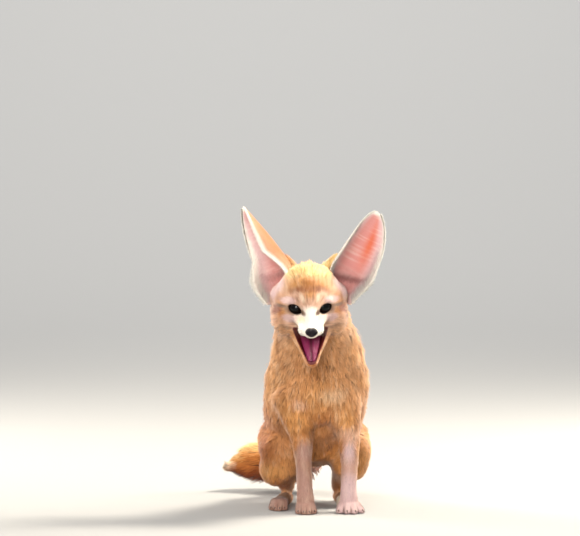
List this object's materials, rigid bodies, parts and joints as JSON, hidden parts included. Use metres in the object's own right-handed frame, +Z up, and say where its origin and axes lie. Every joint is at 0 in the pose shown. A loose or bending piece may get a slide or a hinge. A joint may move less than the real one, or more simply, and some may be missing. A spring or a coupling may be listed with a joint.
{
  "type": "fennec fox",
  "caption": "Life-size still model of a fennec fox crouching low, head raised, mouth open, large ears spread and tail swept to one side.",
  "frame": {"origin": "on the floor under the middle of the model's box", "axes": "+Z up, -Y the way the fox faces, +X to the fox's left"},
  "size_m": [0.1926, 0.3276, 0.3528],
  "materials": {
    "coat_body": "soft short fur, sandy buff",
    "coat_head": "short fur, sandy with pale cheeks",
    "coat_pale": "short fur, cream",
    "coat_ear": "thin fur over pink skin",
    "coat_tail": "long bushy fur, reddish sand, dark tip",
    "nose_skin": "moist black",
    "tongue_skin": "moist purple pink",
    "eye": "clear wet gloss over dark brown"
  },
  "bodies": {
    "root": {"head": "coat_head", "jaw": "coat_pale", "nose": "nose_skin", "tongue": "tongue_skin", "eye_left": "eye", "eye_right": "eye", "ear_left": "coat_ear", "ear_right": "coat_ear", "neck": "coat_body", "torso": "coat_body", "foreleg_left": "coat_pale", "foreleg_right": "coat_pale", "hindleg_left": "coat_body", "hindleg_right": "coat_body", "tail_base": "coat_tail", "tail_tip": "coat_tail"}
  },
  "joints": []
}
